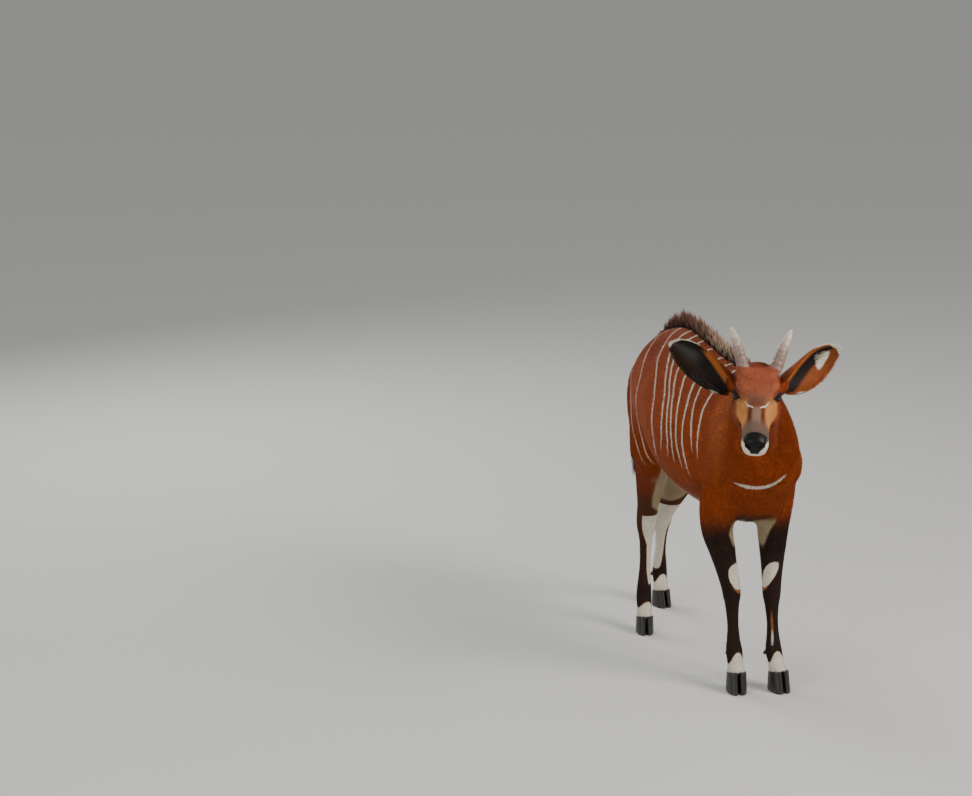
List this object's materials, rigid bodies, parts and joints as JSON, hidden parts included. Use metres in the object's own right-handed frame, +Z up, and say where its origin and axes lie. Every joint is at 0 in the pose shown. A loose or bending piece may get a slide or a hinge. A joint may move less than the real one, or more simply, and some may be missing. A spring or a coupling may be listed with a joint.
{
  "type": "bongo antelope",
  "caption": "Young bongo antelope standing still with its head turned to its right, life size.",
  "frame": {"origin": "middle of the animal's bounding box, on the ground under it", "axes": "+Z up, -Y the way the body faces, +X to the animal's left"},
  "size_m": [0.5482, 1.3992, 1.1785],
  "materials": {
    "coat": "short chestnut coat with thin cream stripes",
    "leg_coat": "short dark brown coat with white patches",
    "ear_coat": "thin rusty hair outside, dark inside, white rim",
    "eye": "glossy black-brown",
    "horn": "grey-brown horn, ridged at the root",
    "claw": "black horn, slightly glossy"
  },
  "bodies": {
    "root": {"head": "coat", "neck": "coat", "torso": "coat", "tail": "coat", "leg_front_right": "leg_coat", "leg_front_left": "leg_coat", "leg_hind_right": "leg_coat", "leg_hind_left": "leg_coat", "ear_right": "ear_coat", "ear_left": "ear_coat", "eye_right": "eye", "eye_left": "eye", "horn_right": "horn", "horn_left": "horn", "hoof_front_right_right": "claw", "dewclaw_front_right_right": "claw", "hoof_front_right_left": "claw", "dewclaw_front_right_left": "claw", "hoof_front_left_right": "claw", "dewclaw_front_left_right": "claw", "hoof_front_left_left": "claw", "dewclaw_front_left_left": "claw", "hoof_hind_right_right": "claw", "dewclaw_hind_right_right": "claw", "hoof_hind_right_left": "claw", "dewclaw_hind_right_left": "claw", "hoof_hind_left_right": "claw", "dewclaw_hind_left_right": "claw", "hoof_hind_left_left": "claw", "dewclaw_hind_left_left": "claw"}
  },
  "joints": []
}
